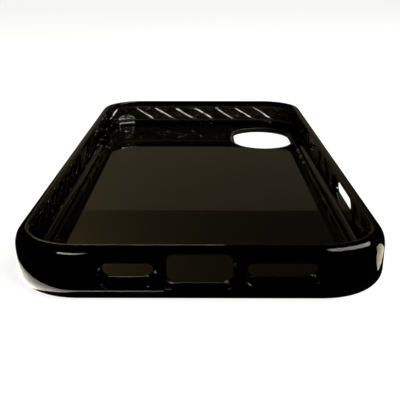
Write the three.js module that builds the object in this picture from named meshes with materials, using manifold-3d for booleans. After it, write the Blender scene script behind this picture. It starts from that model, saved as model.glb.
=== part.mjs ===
// A slim see-through phone case, lying on its back with its open face up.
//
// Units are millimetres. The origin is at the middle of the underside, +X is to the right of
// someone looking at the open face with the camera end away from them, +Y runs towards the camera
// end and +Z rises towards the open face.
//
// A distance measured inwards from the outside of the case is called an inset. A place round the
// edge is given by its distance along the outline, from the middle of the camera end towards +X.

import * as THREE from 'three';
import { mergeVertices } from 'three/addons/utils/BufferGeometryUtils.js';
import Module from 'manifold-3d';

const wasm = await Module();
wasm.setup();

// ---------------------------------------------------------------- driving dimensions

// The phone that the case is made for, and the room left round it.
const PHONE_LENGTH = 143.6;
const PHONE_WIDTH = 70.9;
const PHONE_THICKNESS = 7.7;
const PHONE_ROOM = 0.15;

const WALL = 2.1;
const BACK = 1.7;
const LIP_RISE = 1.6;
const GAP = 0.3;

const CASE_LENGTH = PHONE_LENGTH + 2 * (PHONE_ROOM + WALL);
const CASE_WIDTH = PHONE_WIDTH + 2 * (PHONE_ROOM + WALL);
const CASE_HEIGHT = BACK + PHONE_THICKNESS + LIP_RISE;
const CORNER_RADIUS = 14.2;
const CORNER_STEPS = 10;

// The frame's cross-section.
const LOWER_EDGE = { inset: 2.3, rise: 2.6 };
const UPPER_EDGE = { inset: 2.2, drop: 3.7 };
const LIP_INSET = 3.0;
const LIP_DEPTH = 0.9;
const LIP_ROUND = 0.6;
const LIP_SLOPE = 0.8; // how far the lip's underside drops to the wall
const FOOT_INSET = 4.3;
const FOOT_UNDERSIDE = 1.1;
const FOOT_FILLET_TOP = 3.1;
const FOOT_LIP = 0.05; // how far the foot's edge stands above the back panel
const SEAM_INSET = 3.0;
const EDGE_STEPS = 6;
const LIP_STEPS = 3;
const FILLET_STEPS = 5;

// The pockets in the frame's inner wall that the shock liner and the key flanges sit in.
const POCKET_INSET = 0.9;
const POCKET_LOW = 3.3;
const POCKET_HIGH = 8.7;
const POCKET_REACH = 0.6; // how far a pocket's cut runs past the wall, into the open middle
const POCKET_WALL = 1.0; // the full wall left between one pocket and the next
const POCKET_END = 0.62; // how far round each port-end corner they run, as a share of the corner
const WINDOW_MARGIN = 2.5; // the full wall left beside a window

// The back panel's lower sheet runs under the frame's foot.
const FLANGE_THICKNESS = 0.8;

// The shock liner and its ribs.
const LINER_SKIN = 0.45;
const MAIN_RIB = { crest: 0.35, foot: 0.9, height: 0.45 };
const CROSS_RIB = { crest: 0.25, foot: 0.7, height: 0.3 };
const RIB_PITCH = 7.9;
const RIB_RUN = 7.3;
const RIB_MARGIN = 0.35;
const FIRST_RIB = 0.45;

// The cushions in the port-end corners.
const PILLAR_RADIUS = 0.45;
const PILLAR_COUNT = 5;
const PILLAR_SIDES = 10;
const CUSHION_OVERRUN = 1; // how far they run on along the side walls

// The camera opening: a slot with round ends, in the far right of the back.
const CAMERA = { x: 22.1, y: 49.4, width: 20.2, length: 30.5 };
const CAMERA_RING = 0.8;
const CAMERA_CHAMFER = 0.45;
const CAMERA_STEPS = 12;

// Openings through the port end: centre and size of the hole, and of its flared mouth outside.
const PORT_END_OPENINGS = [
  { x: -13.65, z: 6.3, width: 9.7, height: 3.0, mouth: { x: -13.65, z: 5.55, width: 11.3, height: 5.1 } },
  { x: 0, z: 6.5, width: 12.6, height: 5.8, mouth: { x: 0, z: 6.05, width: 14.0, height: 7.5 } },
  { x: 15.7, z: 6.3, width: 13.4, height: 3.0, mouth: { x: 15.8, z: 5.75, width: 15.2, height: 4.7 } },
];
const OPENING_ROUND = 1.45;
const MOUTH_ROUND = 2.05;
const MOUTH_DEPTH = 1.1;
const OPENING_STEPS = 5;

// Openings through the side walls.
const SIDE_WINDOW = { side: 1, y: -27, z: 5.65, width: 24, height: 5.1, round: 2.0 };
const SWITCH_WINDOW = { side: -1, y: 39.5, z: 5.8, width: 10.5, height: 5.0, round: 2.4 };

// The key covers. Each has a cap that shows outside and a wider flange behind the wall.
const KEYS = [
  { name: 'volume_up_key', side: -1, y: 24.5, length: 10 },
  { name: 'volume_down_key', side: -1, y: 9.5, length: 10 },
  { name: 'side_key', side: 1, y: 18, length: 18 },
];
const KEY_HEIGHT = 3.2;
const KEY_Z = 5.8;
const KEY_PROUD = 0.35;
const KEY_EDGE = 0.3;
const KEY_FLANGE = { margin: 1.0, height: 4.4, thickness: 0.5, round: 1.2 };
const WINDOW_STEPS = 6;

// How far a cutter runs past the surface it leaves by, and how far two meeting bodies overlap.
const CLEAR = 1;
const OVERLAP = 0.01;

// The finish of each kind of piece.
const PANEL_SMOKE = { color: 0x1d1810, roughness: 0.06 };
const FRAME_SMOKE = { color: 0x15110b, roughness: 0.12 };
const RING_BLACK = { color: 0x0b0b0b, roughness: 0.45 };
const LINER_SMOKE = { color: 0x2b251a, roughness: 0.25 };
const KEY_SMOKE = { color: 0x120f0a, roughness: 0.2 };

// ---------------------------------------------------------------- solids

function solidFrom(geometry) {
  const bare = geometry.clone();
  bare.deleteAttribute('normal');
  bare.deleteAttribute('uv');
  const merged = mergeVertices(bare, 1e-5);
  return new wasm.Manifold(new wasm.Mesh({
    numProp: 3,
    vertProperties: new Float32Array(merged.attributes.position.array),
    triVerts: new Uint32Array(merged.index.array),
  }));
}

function geometryFrom(solid) {
  const { vertProperties, triVerts } = solid.getMesh();
  const geometry = new THREE.BufferGeometry();
  geometry.setAttribute('position', new THREE.BufferAttribute(vertProperties, 3));
  geometry.setIndex(new THREE.BufferAttribute(triVerts, 1));
  geometry.computeVertexNormals();
  return geometry;
}

function joined(solids) {
  return solids.reduce((whole, solid) => whole.add(solid));
}

function cutBy(solid, cutters) {
  return cutters.reduce((rest, cutter) => rest.subtract(cutter), solid);
}

// ---------------------------------------------------------------- the outline and sweeps round it

const STRAIGHT_X = CASE_WIDTH / 2 - CORNER_RADIUS;
const STRAIGHT_Y = CASE_LENGTH / 2 - CORNER_RADIUS;
const CORNER_LENGTH = CORNER_RADIUS * Math.PI / 2;
const OUTLINE_LENGTH = 4 * (STRAIGHT_X + STRAIGHT_Y + CORNER_LENGTH);

// The four corners in the order they are met, each with the outline distance at which it starts
// and the compass angle of the wall that runs into it.
const CORNERS = [
  { x: STRAIGHT_X, y: STRAIGHT_Y, start: STRAIGHT_X, angle: Math.PI / 2 },
  { x: STRAIGHT_X, y: -STRAIGHT_Y, start: STRAIGHT_X + CORNER_LENGTH + 2 * STRAIGHT_Y, angle: 0 },
  {
    x: -STRAIGHT_X,
    y: -STRAIGHT_Y,
    start: 3 * STRAIGHT_X + 2 * CORNER_LENGTH + 2 * STRAIGHT_Y,
    angle: -Math.PI / 2,
  },
  {
    x: -STRAIGHT_X,
    y: STRAIGHT_Y,
    start: 3 * STRAIGHT_X + 3 * CORNER_LENGTH + 4 * STRAIGHT_Y,
    angle: -Math.PI,
  },
];

// The point of the outline at a distance along it, moved in by an inset.
function outlinePoint(along, inset, z) {
  const distance = THREE.MathUtils.euclideanModulo(along, OUTLINE_LENGTH);
  const passed = CORNERS.filter((corner) => corner.start <= distance);
  const corner = passed.length > 0 ? passed[passed.length - 1] : CORNERS[3];
  const start = passed.length > 0 ? corner.start : corner.start - OUTLINE_LENGTH;
  const turned = Math.min((distance - start) / CORNER_RADIUS, Math.PI / 2);
  const beyond = Math.max(distance - start - CORNER_LENGTH, 0);
  const angle = corner.angle - turned;
  const out = new THREE.Vector3(Math.cos(angle), Math.sin(angle), 0);
  const onward = new THREE.Vector3(Math.sin(angle), -Math.cos(angle), 0);
  return new THREE.Vector3(corner.x, corner.y, z)
    .addScaledVector(out, CORNER_RADIUS - inset)
    .addScaledVector(onward, beyond);
}

// The distances between two places at which a sweep needs a station: both ends, and each step of
// the corners that lie between them.
function stationsBetween(from, to) {
  const stations = [from, to];
  for (const lap of [-1, 0, 1]) {
    for (const corner of CORNERS) {
      for (let step = 0; step <= CORNER_STEPS; step += 1) {
        const along = corner.start + lap * OUTLINE_LENGTH + CORNER_LENGTH * step / CORNER_STEPS;
        if (along > from + 0.05 && along < to - 0.05) {
          stations.push(along);
        }
      }
    }
  }
  return stations.sort((a, b) => a - b);
}

// A cross-section of (inset, z) points carried along the outline, as a lathe carries its profile
// round a circle. sectionAt gives the section at a distance along the outline. A closed sweep goes
// all the way round; an open one is capped at both ends.
function sweep(sectionAt, stations, closed) {
  const sections = stations.map(sectionAt);
  const count = sections[0].length;
  const turned = THREE.ShapeUtils.area(sections[0]) < 0;
  const positions = stations.flatMap((along, i) => {
    const profile = turned ? [...sections[i]].reverse() : sections[i];
    return profile.flatMap((point) => outlinePoint(along, point.x, point.y).toArray());
  });
  const index = [];
  const spans = closed ? stations.length : stations.length - 1;
  for (let span = 0; span < spans; span += 1) {
    const here = span * count;
    const next = ((span + 1) % stations.length) * count;
    for (let j = 0; j < count; j += 1) {
      const k = (j + 1) % count;
      index.push(here + j, next + j, next + k);
      index.push(here + j, next + k, here + k);
    }
  }
  if (!closed) {
    const last = (stations.length - 1) * count;
    const end = turned ? [...sections[0]].reverse() : sections[0];
    for (const [a, b, c] of THREE.ShapeUtils.triangulateShape(end, [])) {
      index.push(a, b, c);
      index.push(last + a, last + c, last + b);
    }
  }
  const geometry = new THREE.BufferGeometry();
  geometry.setAttribute('position', new THREE.Float32BufferAttribute(positions, 3));
  geometry.setIndex(index);
  return solidFrom(geometry);
}

function ring(section) {
  return sweep(() => section, stationsBetween(0, OUTLINE_LENGTH).slice(0, -1), true);
}

function band(low, high, from, to) {
  const section = [
    new THREE.Vector2(low.x, low.y),
    new THREE.Vector2(high.x, low.y),
    new THREE.Vector2(high.x, high.y),
    new THREE.Vector2(low.x, high.y),
  ];
  return sweep(() => section, stationsBetween(from, to), false);
}

// ---------------------------------------------------------------- what lies where round the wall

// The outline distance at which a side wall passes a given y.
function alongRight(y) {
  return CORNERS[0].start + CORNER_LENGTH + (STRAIGHT_Y - y);
}

function alongLeft(y) {
  return -alongRight(y);
}

function keySpan(key) {
  const reach = key.length / 2 + KEY_FLANGE.margin;
  return key.side > 0
    ? [alongRight(key.y + reach), alongRight(key.y - reach)]
    : [alongLeft(key.y - reach), alongLeft(key.y + reach)];
}

function windowSpan(opening) {
  const reach = opening.width / 2 + WINDOW_MARGIN;
  return opening.side > 0
    ? [alongRight(opening.y + reach), alongRight(opening.y - reach)]
    : [alongLeft(opening.y - reach), alongLeft(opening.y + reach)];
}

const [, LOWER_LEFT_KEY, RIGHT_KEY] = KEYS;
const BESIDE_KEY = POCKET_WALL + 2 * GAP;
const CUSHION_START = -STRAIGHT_Y + CUSHION_OVERRUN;

const LINERS = {
  liner_far_end: [windowSpan(SWITCH_WINDOW)[1], keySpan(RIGHT_KEY)[0] - BESIDE_KEY],
  liner_left_side: [alongLeft(CUSHION_START), keySpan(LOWER_LEFT_KEY)[0] - BESIDE_KEY],
  liner_right_middle: [keySpan(RIGHT_KEY)[1] + BESIDE_KEY, windowSpan(SIDE_WINDOW)[0]],
  liner_right_lower: [windowSpan(SIDE_WINDOW)[1], alongRight(CUSHION_START)],
};

const CUSHIONS = {
  corner_cushion_left: [
    CORNERS[2].start + CORNER_LENGTH * (1 - POCKET_END) - OUTLINE_LENGTH,
    alongLeft(CUSHION_START) - GAP,
  ],
  corner_cushion_right: [
    alongRight(CUSHION_START) + GAP,
    CORNERS[1].start + CORNER_LENGTH * POCKET_END,
  ],
};

// A side strip and the cushion that follows it share one pocket.
const POCKETS = [
  LINERS.liner_far_end,
  LINERS.liner_right_middle,
  [LINERS.liner_right_lower[0], CUSHIONS.corner_cushion_right[1]],
  [CUSHIONS.corner_cushion_left[0], LINERS.liner_left_side[1]],
  ...KEYS.map(keySpan),
];

// ---------------------------------------------------------------- flat shapes and prisms

function roundedRectangle(width, height, radius) {
  const shape = new THREE.Shape();
  const x = width / 2 - radius;
  const y = height / 2 - radius;
  shape.absarc(x, y, radius, 0, Math.PI / 2);
  shape.absarc(-x, y, radius, Math.PI / 2, Math.PI);
  shape.absarc(-x, -y, radius, Math.PI, Math.PI * 1.5);
  shape.absarc(x, -y, radius, Math.PI * 1.5, Math.PI * 2);
  return shape;
}

function plate(shape, low, high, curveSegments) {
  const depth = high - low;
  const geometry = new THREE.ExtrudeGeometry(shape, { depth, bevelEnabled: false, curveSegments });
  return solidFrom(geometry.translate(0, 0, low));
}

function casePlate(inset, low, high) {
  const shape = roundedRectangle(
    CASE_WIDTH - 2 * inset,
    CASE_LENGTH - 2 * inset,
    CORNER_RADIUS - inset,
  );
  return plate(shape, low, high, CORNER_STEPS);
}

// A prism whose shape lies in the side wall's plane (+Y across, +Z up) and that runs along +X.
function sideways(geometry) {
  return geometry.rotateX(Math.PI / 2).rotateZ(Math.PI / 2);
}

// A straight-sided or flared tunnel between two outlines of equal point count.
function tunnel(near, nearZ, far, farZ) {
  const count = near.length;
  const positions = [
    ...near.flatMap((point) => [point.x, point.y, nearZ]),
    ...far.flatMap((point) => [point.x, point.y, farZ]),
  ];
  const index = [];
  for (let j = 0; j < count; j += 1) {
    const k = (j + 1) % count;
    index.push(j, k, count + k);
    index.push(j, count + k, count + j);
  }
  for (const [a, b, c] of THREE.ShapeUtils.triangulateShape(near, [])) {
    index.push(a, c, b);
    index.push(count + a, count + b, count + c);
  }
  const geometry = new THREE.BufferGeometry();
  geometry.setAttribute('position', new THREE.Float32BufferAttribute(positions, 3));
  geometry.setIndex(index);
  return geometry;
}

function outlineOf(shape, segments) {
  const points = shape.getPoints(segments);
  return points.filter((point, i) => i === 0 || point.distanceTo(points[i - 1]) > 1e-4)
    .filter((point, i, all) => i < all.length - 1 || point.distanceTo(all[0]) > 1e-4);
}

// ---------------------------------------------------------------- the frame

function quarter(centre, reach, fromAngle, steps) {
  return Array.from({ length: steps + 1 }, (_, step) => {
    const angle = fromAngle + Math.PI / 2 * step / steps;
    return new THREE.Vector2(
      centre.x + reach.x * Math.cos(angle),
      centre.y + reach.y * Math.sin(angle),
    );
  });
}

// The wall's cross-section: rounded outer edges, a lip that holds the phone in, and a foot that
// curves down onto the back panel.
function frameSection() {
  const lowerEdge = quarter(
    new THREE.Vector2(LOWER_EDGE.inset, LOWER_EDGE.rise),
    new THREE.Vector2(LOWER_EDGE.inset, LOWER_EDGE.rise),
    Math.PI,
    EDGE_STEPS,
  ).reverse();
  const upperEdge = quarter(
    new THREE.Vector2(UPPER_EDGE.inset, CASE_HEIGHT - UPPER_EDGE.drop),
    new THREE.Vector2(UPPER_EDGE.inset, UPPER_EDGE.drop),
    Math.PI / 2,
    EDGE_STEPS,
  ).reverse();
  const lipEdge = quarter(
    new THREE.Vector2(LIP_INSET - LIP_ROUND, CASE_HEIGHT - LIP_ROUND),
    new THREE.Vector2(LIP_ROUND, LIP_ROUND),
    0,
    LIP_STEPS,
  ).reverse();
  const footFillet = quarter(
    new THREE.Vector2(FOOT_INSET, FOOT_FILLET_TOP),
    new THREE.Vector2(FOOT_INSET - WALL, FOOT_FILLET_TOP - BACK - FOOT_LIP),
    Math.PI,
    FILLET_STEPS,
  );
  return [
    new THREE.Vector2(SEAM_INSET, 0),
    ...lowerEdge,
    ...upperEdge,
    ...lipEdge,
    new THREE.Vector2(LIP_INSET, CASE_HEIGHT - LIP_DEPTH),
    new THREE.Vector2(WALL, CASE_HEIGHT - LIP_DEPTH - LIP_SLOPE),
    ...footFillet,
    new THREE.Vector2(FOOT_INSET, FOOT_UNDERSIDE),
    new THREE.Vector2(SEAM_INSET, FOOT_UNDERSIDE),
  ];
}

function portEndCutters() {
  return PORT_END_OPENINGS.flatMap((opening) => {
    const { mouth } = opening;
    const hole = roundedRectangle(opening.width, opening.height, OPENING_ROUND);
    const flare = roundedRectangle(mouth.width, mouth.height, MOUTH_ROUND);
    const holeOutline = outlineOf(hole, OPENING_STEPS).map((point) => new THREE.Vector2(
      point.x + opening.x,
      point.y + opening.z,
    ));
    const flareOutline = outlineOf(flare, OPENING_STEPS).map((point) => new THREE.Vector2(
      point.x + mouth.x,
      point.y + mouth.z,
    ));
    // The tunnels run along their own +Z, which is turned to face out of the port end.
    const face = CASE_LENGTH / 2;
    const through = tunnel(holeOutline, face - FOOT_INSET - CLEAR, holeOutline, face + CLEAR);
    const mouthCut = tunnel(holeOutline, face - MOUTH_DEPTH, flareOutline, face + OVERLAP);
    return [through, mouthCut].map((geometry) => solidFrom(geometry.rotateX(Math.PI / 2)));
  });
}

function sideCutter({ side, y, z, width, height, round }) {
  const shape = roundedRectangle(width, height, round);
  const geometry = sideways(new THREE.ExtrudeGeometry(shape, {
    depth: WALL + 3 * CLEAR,
    bevelEnabled: false,
    curveSegments: WINDOW_STEPS,
  }));
  const innermost = side > 0 ? CASE_WIDTH / 2 - WALL - CLEAR : -CASE_WIDTH / 2 - 2 * CLEAR;
  return solidFrom(geometry.translate(innermost, y, z));
}

function keyCutter(key) {
  return sideCutter({
    side: key.side,
    y: key.y,
    z: KEY_Z,
    width: key.length + 2 * GAP,
    height: KEY_HEIGHT + 2 * GAP,
    round: KEY_HEIGHT / 2 + GAP - OVERLAP,
  });
}

function cameraShape(margin) {
  const width = CAMERA.width + 2 * margin;
  return roundedRectangle(width, CAMERA.length + 2 * margin, width / 2 - OVERLAP);
}

function cameraCutter(margin, low, high) {
  return plate(cameraShape(margin), low, high, CAMERA_STEPS).translate([CAMERA.x, CAMERA.y, 0]);
}

function bumperFrame() {
  const pockets = POCKETS.map(([from, to]) => band(
    new THREE.Vector2(POCKET_INSET, POCKET_LOW),
    new THREE.Vector2(WALL + POCKET_REACH, POCKET_HIGH),
    from - GAP,
    to + GAP,
  ));
  return cutBy(ring(frameSection()), [
    ...pockets,
    ...portEndCutters(),
    sideCutter(SIDE_WINDOW),
    sideCutter(SWITCH_WINDOW),
    ...KEYS.map(keyCutter),
  ]);
}

// ---------------------------------------------------------------- the back

function backPanel() {
  const flange = casePlate(SEAM_INSET + GAP, 0, FLANGE_THICKNESS);
  const raised = casePlate(FOOT_INSET + GAP, 0, BACK);
  return flange.add(raised).subtract(cameraCutter(CAMERA_RING + GAP, -CLEAR, BACK + CLEAR));
}

function cameraRing() {
  const body = cameraCutter(CAMERA_RING, 0, BACK);
  const hole = cameraCutter(0, -CLEAR, BACK + CLEAR);
  const chamfer = tunnel(
    outlineOf(cameraShape(CAMERA_CHAMFER), CAMERA_STEPS),
    -OVERLAP,
    outlineOf(cameraShape(0), CAMERA_STEPS),
    BACK / 2,
  );
  return cutBy(body, [hole, solidFrom(chamfer).translate([CAMERA.x, CAMERA.y, 0])]);
}

// ---------------------------------------------------------------- the shock liner

const LINER_OUTER = POCKET_INSET + GAP;
const LINER_INNER = LINER_OUTER + LINER_SKIN;
const LINER_LOW = POCKET_LOW + GAP;
const LINER_HIGH = POCKET_HIGH - GAP;

// A rib of the lattice: a ridge on the liner's skin, narrower at its crest, that climbs or falls
// as it goes along the wall.
function rib(from, to, climbs, { crest, foot, height }) {
  const low = LINER_LOW + foot / 2;
  const high = LINER_HIGH - foot / 2;
  const sectionAt = (along) => {
    const share = (along - from) / (to - from);
    const z = THREE.MathUtils.lerp(low, high, climbs ? share : 1 - share);
    return [
      new THREE.Vector2(LINER_INNER - LINER_SKIN / 2, z - foot / 2),
      new THREE.Vector2(LINER_INNER + height, z - crest / 2),
      new THREE.Vector2(LINER_INNER + height, z + crest / 2),
      new THREE.Vector2(LINER_INNER - LINER_SKIN / 2, z + foot / 2),
    ];
  };
  return sweep(sectionAt, stationsBetween(from, to), false);
}

// A strip of liner: a thin skin in the frame's pocket with a lattice of crossing ribs on it.
function liner(from, to) {
  const skin = band(
    new THREE.Vector2(LINER_OUTER, LINER_LOW),
    new THREE.Vector2(LINER_INNER, LINER_HIGH),
    from,
    to,
  );
  const ribs = [];
  const first = Math.ceil((from + RIB_MARGIN + RIB_RUN / 2 - FIRST_RIB) / RIB_PITCH);
  const last = Math.floor((to - RIB_MARGIN - RIB_RUN / 2 - FIRST_RIB) / RIB_PITCH);
  for (let cell = first; cell <= last; cell += 1) {
    const middle = FIRST_RIB + cell * RIB_PITCH;
    ribs.push(rib(middle - RIB_RUN / 2, middle + RIB_RUN / 2, false, MAIN_RIB));
    ribs.push(rib(middle - RIB_RUN / 2, middle + RIB_RUN / 2, true, CROSS_RIB));
  }
  return joined([skin, ...ribs]);
}

// A cushion in a port-end corner: the same skin, with upright pillars in place of the lattice.
function cornerCushion(from, to) {
  const skin = band(
    new THREE.Vector2(LINER_OUTER, LINER_LOW),
    new THREE.Vector2(LINER_INNER, LINER_HIGH),
    from,
    to,
  );
  const pillars = Array.from({ length: PILLAR_COUNT }, (_, i) => {
    const along = THREE.MathUtils.lerp(from, to, (i + 0.5) / PILLAR_COUNT);
    const foot = outlinePoint(along, LINER_INNER, (LINER_LOW + LINER_HIGH) / 2);
    const height = LINER_HIGH - LINER_LOW;
    const pillar = new THREE.CylinderGeometry(PILLAR_RADIUS, PILLAR_RADIUS, height, PILLAR_SIDES);
    return solidFrom(pillar.rotateX(Math.PI / 2).translate(foot.x, foot.y, foot.z));
  });
  return joined([skin, ...pillars]);
}

// ---------------------------------------------------------------- the key covers

// A key cover for the right wall, about its own middle: the cap passes out through the wall, and
// the flange behind the wall keeps it from falling out.
function keyCover(length) {
  const capDepth = LINER_OUTER + KEY_FLANGE.thickness / 2 + KEY_PROUD;
  const cap = sideways(new THREE.ExtrudeGeometry(
    roundedRectangle(
      length - 2 * KEY_EDGE,
      KEY_HEIGHT - 2 * KEY_EDGE,
      KEY_HEIGHT / 2 - KEY_EDGE - OVERLAP,
    ),
    {
      depth: capDepth - KEY_EDGE,
      bevelThickness: KEY_EDGE,
      bevelSize: KEY_EDGE,
      bevelSegments: 2,
      curveSegments: 4,
    },
  )).translate(-LINER_OUTER - KEY_FLANGE.thickness / 2, 0, 0);
  const flange = sideways(new THREE.ExtrudeGeometry(
    roundedRectangle(length + 2 * KEY_FLANGE.margin, KEY_FLANGE.height, KEY_FLANGE.round),
    { depth: KEY_FLANGE.thickness, bevelEnabled: false, curveSegments: 4 },
  )).translate(-LINER_OUTER - KEY_FLANGE.thickness, 0, 0);
  return solidFrom(cap).add(solidFrom(flange));
}

// ---------------------------------------------------------------- the case

function piece(name, solid, finish) {
  const material = new THREE.MeshStandardMaterial({ ...finish, metalness: 0 });
  const mesh = new THREE.Mesh(geometryFrom(solid), material);
  mesh.name = name;
  return mesh;
}

const phoneCase = new THREE.Group();
phoneCase.add(piece('back_panel', backPanel(), PANEL_SMOKE));
phoneCase.add(piece('bumper_frame', bumperFrame(), FRAME_SMOKE));
phoneCase.add(piece('camera_ring', cameraRing(), RING_BLACK));

for (const [name, [from, to]] of Object.entries(LINERS)) {
  phoneCase.add(piece(name, liner(from, to), LINER_SMOKE));
}
for (const [name, [from, to]] of Object.entries(CUSHIONS)) {
  phoneCase.add(piece(name, cornerCushion(from, to), LINER_SMOKE));
}
for (const key of KEYS) {
  const mesh = piece(key.name, keyCover(key.length), KEY_SMOKE);
  mesh.position.set(key.side * CASE_WIDTH / 2, key.y, KEY_Z);
  mesh.rotation.z = key.side > 0 ? 0 : Math.PI;
  phoneCase.add(mesh);
}

export default phoneCase;
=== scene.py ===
# %% [markdown]
# # A see-through smoked phone case
# This lesson dresses a phone case whose working shape is already fixed: a hard back sheet, a glossy
# bumper frame, a dark camera ring, a ribbed shock liner, two corner cushions and three key covers.
# The fixed shape has flat facets, which would show at once in glossy plastic. So each piece is built
# again here, in the same place and to the same size, with fine curves, and given its own finish.

# %% Load the fixed frame and keep its box
import math

import bmesh
import bpy
from mathutils import Matrix, Vector


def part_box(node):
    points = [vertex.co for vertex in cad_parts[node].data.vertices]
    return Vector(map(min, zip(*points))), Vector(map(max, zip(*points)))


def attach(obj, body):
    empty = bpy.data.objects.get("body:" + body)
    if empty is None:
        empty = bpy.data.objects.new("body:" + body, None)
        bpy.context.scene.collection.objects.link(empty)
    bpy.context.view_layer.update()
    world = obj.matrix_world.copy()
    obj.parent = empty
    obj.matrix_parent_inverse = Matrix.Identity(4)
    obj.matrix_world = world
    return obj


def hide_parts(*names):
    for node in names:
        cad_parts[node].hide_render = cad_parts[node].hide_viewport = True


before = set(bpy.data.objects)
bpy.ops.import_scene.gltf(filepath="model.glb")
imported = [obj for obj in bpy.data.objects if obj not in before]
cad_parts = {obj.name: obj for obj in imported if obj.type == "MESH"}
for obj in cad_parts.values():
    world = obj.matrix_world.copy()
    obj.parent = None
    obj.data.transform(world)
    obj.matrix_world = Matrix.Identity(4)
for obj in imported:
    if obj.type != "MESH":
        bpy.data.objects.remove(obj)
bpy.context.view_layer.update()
scene = bpy.context.scene
MM = 0.001
print("nodes to dress:", sorted(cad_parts))

# %% [markdown]
# The case is a rounded rectangle seen from above. Its length, width and height are read from the
# fixed frame. The rest are the maker's own sizes: the corner radius, how far the lip leans in over
# the phone, and the foot that curves down to the back sheet. A distance measured inwards from the
# outside is called an inset.

# %% The case's main sizes
frame_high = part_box("bumper_frame")[1]
panel_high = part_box("back_panel")[1]
HALF_WIDTH = frame_high.x
HALF_LENGTH = frame_high.y
HEIGHT = frame_high.z
BACK = panel_high.z
CORNER_RADIUS = 14.2 * MM
WALL = 2.1 * MM
GAP = 0.3 * MM
LIP_INSET = 3.0 * MM
FOOT_INSET = 4.3 * MM
SEAM_INSET = HALF_WIDTH - panel_high.x - GAP
POCKET_INSET = 0.9 * MM
POCKET_LOW = 3.3 * MM
POCKET_HIGH = 8.7 * MM
print(f"case {2000 * HALF_WIDTH:.1f} x {2000 * HALF_LENGTH:.1f} x {1000 * HEIGHT:.1f} mm")

# %% [markdown]
# Walking round the edge is the easiest way to place everything that lives in the wall. The outline
# starts at the middle of the camera end and runs towards +X. One function turns a distance along it,
# an inset and a height into a point, so a wall, a rib or a cushion needs no angles of its own.

# %% A point of the outline
STRAIGHT_X = HALF_WIDTH - CORNER_RADIUS
STRAIGHT_Y = HALF_LENGTH - CORNER_RADIUS
CORNER_LENGTH = CORNER_RADIUS * math.pi / 2
OUTLINE_LENGTH = 4 * (STRAIGHT_X + STRAIGHT_Y + CORNER_LENGTH)
# Each corner is (x and y of its centre, the distance at which it starts, the angle it starts at).
CORNERS = [
    (STRAIGHT_X, STRAIGHT_Y, STRAIGHT_X, math.pi / 2),
    (STRAIGHT_X, -STRAIGHT_Y, STRAIGHT_X + CORNER_LENGTH + 2 * STRAIGHT_Y, 0.0),
    (-STRAIGHT_X, -STRAIGHT_Y, 3 * STRAIGHT_X + 2 * CORNER_LENGTH + 2 * STRAIGHT_Y, -math.pi / 2),
    (-STRAIGHT_X, STRAIGHT_Y, 3 * STRAIGHT_X + 3 * CORNER_LENGTH + 4 * STRAIGHT_Y, -math.pi),
]


def outline_point(along, inset, z):
    distance = along % OUTLINE_LENGTH
    passed = [corner for corner in CORNERS if corner[2] <= distance]
    x, y, start, angle = passed[-1] if passed else CORNERS[3]
    if not passed:
        start -= OUTLINE_LENGTH
    beyond = max(distance - start - CORNER_LENGTH, 0.0)
    angle -= min((distance - start) / CORNER_RADIUS, math.pi / 2)
    reach = CORNER_RADIUS - inset
    return Vector((
        x + reach * math.cos(angle) + beyond * math.sin(angle),
        y + reach * math.sin(angle) - beyond * math.cos(angle),
        z,
    ))


CLOSEST_STATIONS = 0.02 * MM


def stations_between(start, end, corner_steps, straight_step=None):
    """Where a sweep puts its sections: close together round the corners, far apart elsewhere.

    A straight run gets no extra ones, unless straight_step says how far apart they may be.
    """
    stops = {start, end}
    for lap in (-1, 0, 1):
        for _, _, corner_start, _ in CORNERS:
            for step in range(corner_steps + 1):
                stops.add(corner_start + lap * OUTLINE_LENGTH + CORNER_LENGTH * step / corner_steps)
    stops = sorted(stop for stop in stops if start - 1e-7 <= stop <= end + 1e-7)
    kept = [stops[0]]
    for stop in stops[1:]:
        gap = stop - kept[-1]
        if gap < CLOSEST_STATIONS:
            continue
        parts = max(1, math.ceil(gap / straight_step)) if straight_step else 1
        base = kept[-1]
        kept.extend(base + gap * part / parts for part in range(1, parts + 1))
    return kept


print(f"once round the case is {1000 * OUTLINE_LENGTH:.1f} mm")

# %% [markdown]
# Three small tools make nearly every mesh here. A loft joins a row of outlines with the same number
# of points. A sweep is a loft whose outlines are one cross-section carried round the case, as a
# lathe carries a profile round an axis. A cut takes one closed mesh out of another, with the exact
# solver, because the walls are thin and every opening has to leave a clean, closed mesh. Normals are
# weighted by face size after the cuts, so that flat stretches stay flat and curved ones smooth.

# %% Mesh tools
def object_from(name, vertices, faces):
    mesh = bpy.data.meshes.new(name)
    mesh.from_pydata([tuple(v) for v in vertices], [], faces)
    piece = bpy.data.objects.new(name, mesh)
    scene.collection.objects.link(piece)
    tidy = bmesh.new()
    tidy.from_mesh(mesh)
    bmesh.ops.remove_doubles(tidy, verts=tidy.verts, dist=1e-7)
    bmesh.ops.recalc_face_normals(tidy, faces=tidy.faces)
    tidy.to_mesh(mesh)
    tidy.free()
    return piece


def loft(name, outlines, closed=False):
    """Outlines are lists of points, all of one length. A closed loft joins the last to the first."""
    count = len(outlines[0])
    vertices = [point for outline in outlines for point in outline]
    faces = []
    spans = len(outlines) if closed else len(outlines) - 1
    for span in range(spans):
        here, there = span * count, (span + 1) % len(outlines) * count
        for j in range(count):
            k = (j + 1) % count
            faces.append((here + j, there + j, there + k, here + k))
    if not closed:
        faces.append(tuple(range(count)))
        faces.append(tuple(reversed(range(len(vertices) - count, len(vertices)))))
    return object_from(name, vertices, faces)


def sweep(name, section_at, stations, closed=False):
    """A section is a list of (inset, height), and may change from station to station."""
    rows = [[outline_point(s, inset, z) for inset, z in section_at(s)] for s in stations]
    return loft(name, rows, closed)


def settle(piece):
    """Applies a piece's modifiers to its mesh."""
    evaluated = piece.evaluated_get(bpy.context.evaluated_depsgraph_get())
    mesh = bpy.data.meshes.new_from_object(evaluated)
    piece.modifiers.clear()
    piece.data = mesh


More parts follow.
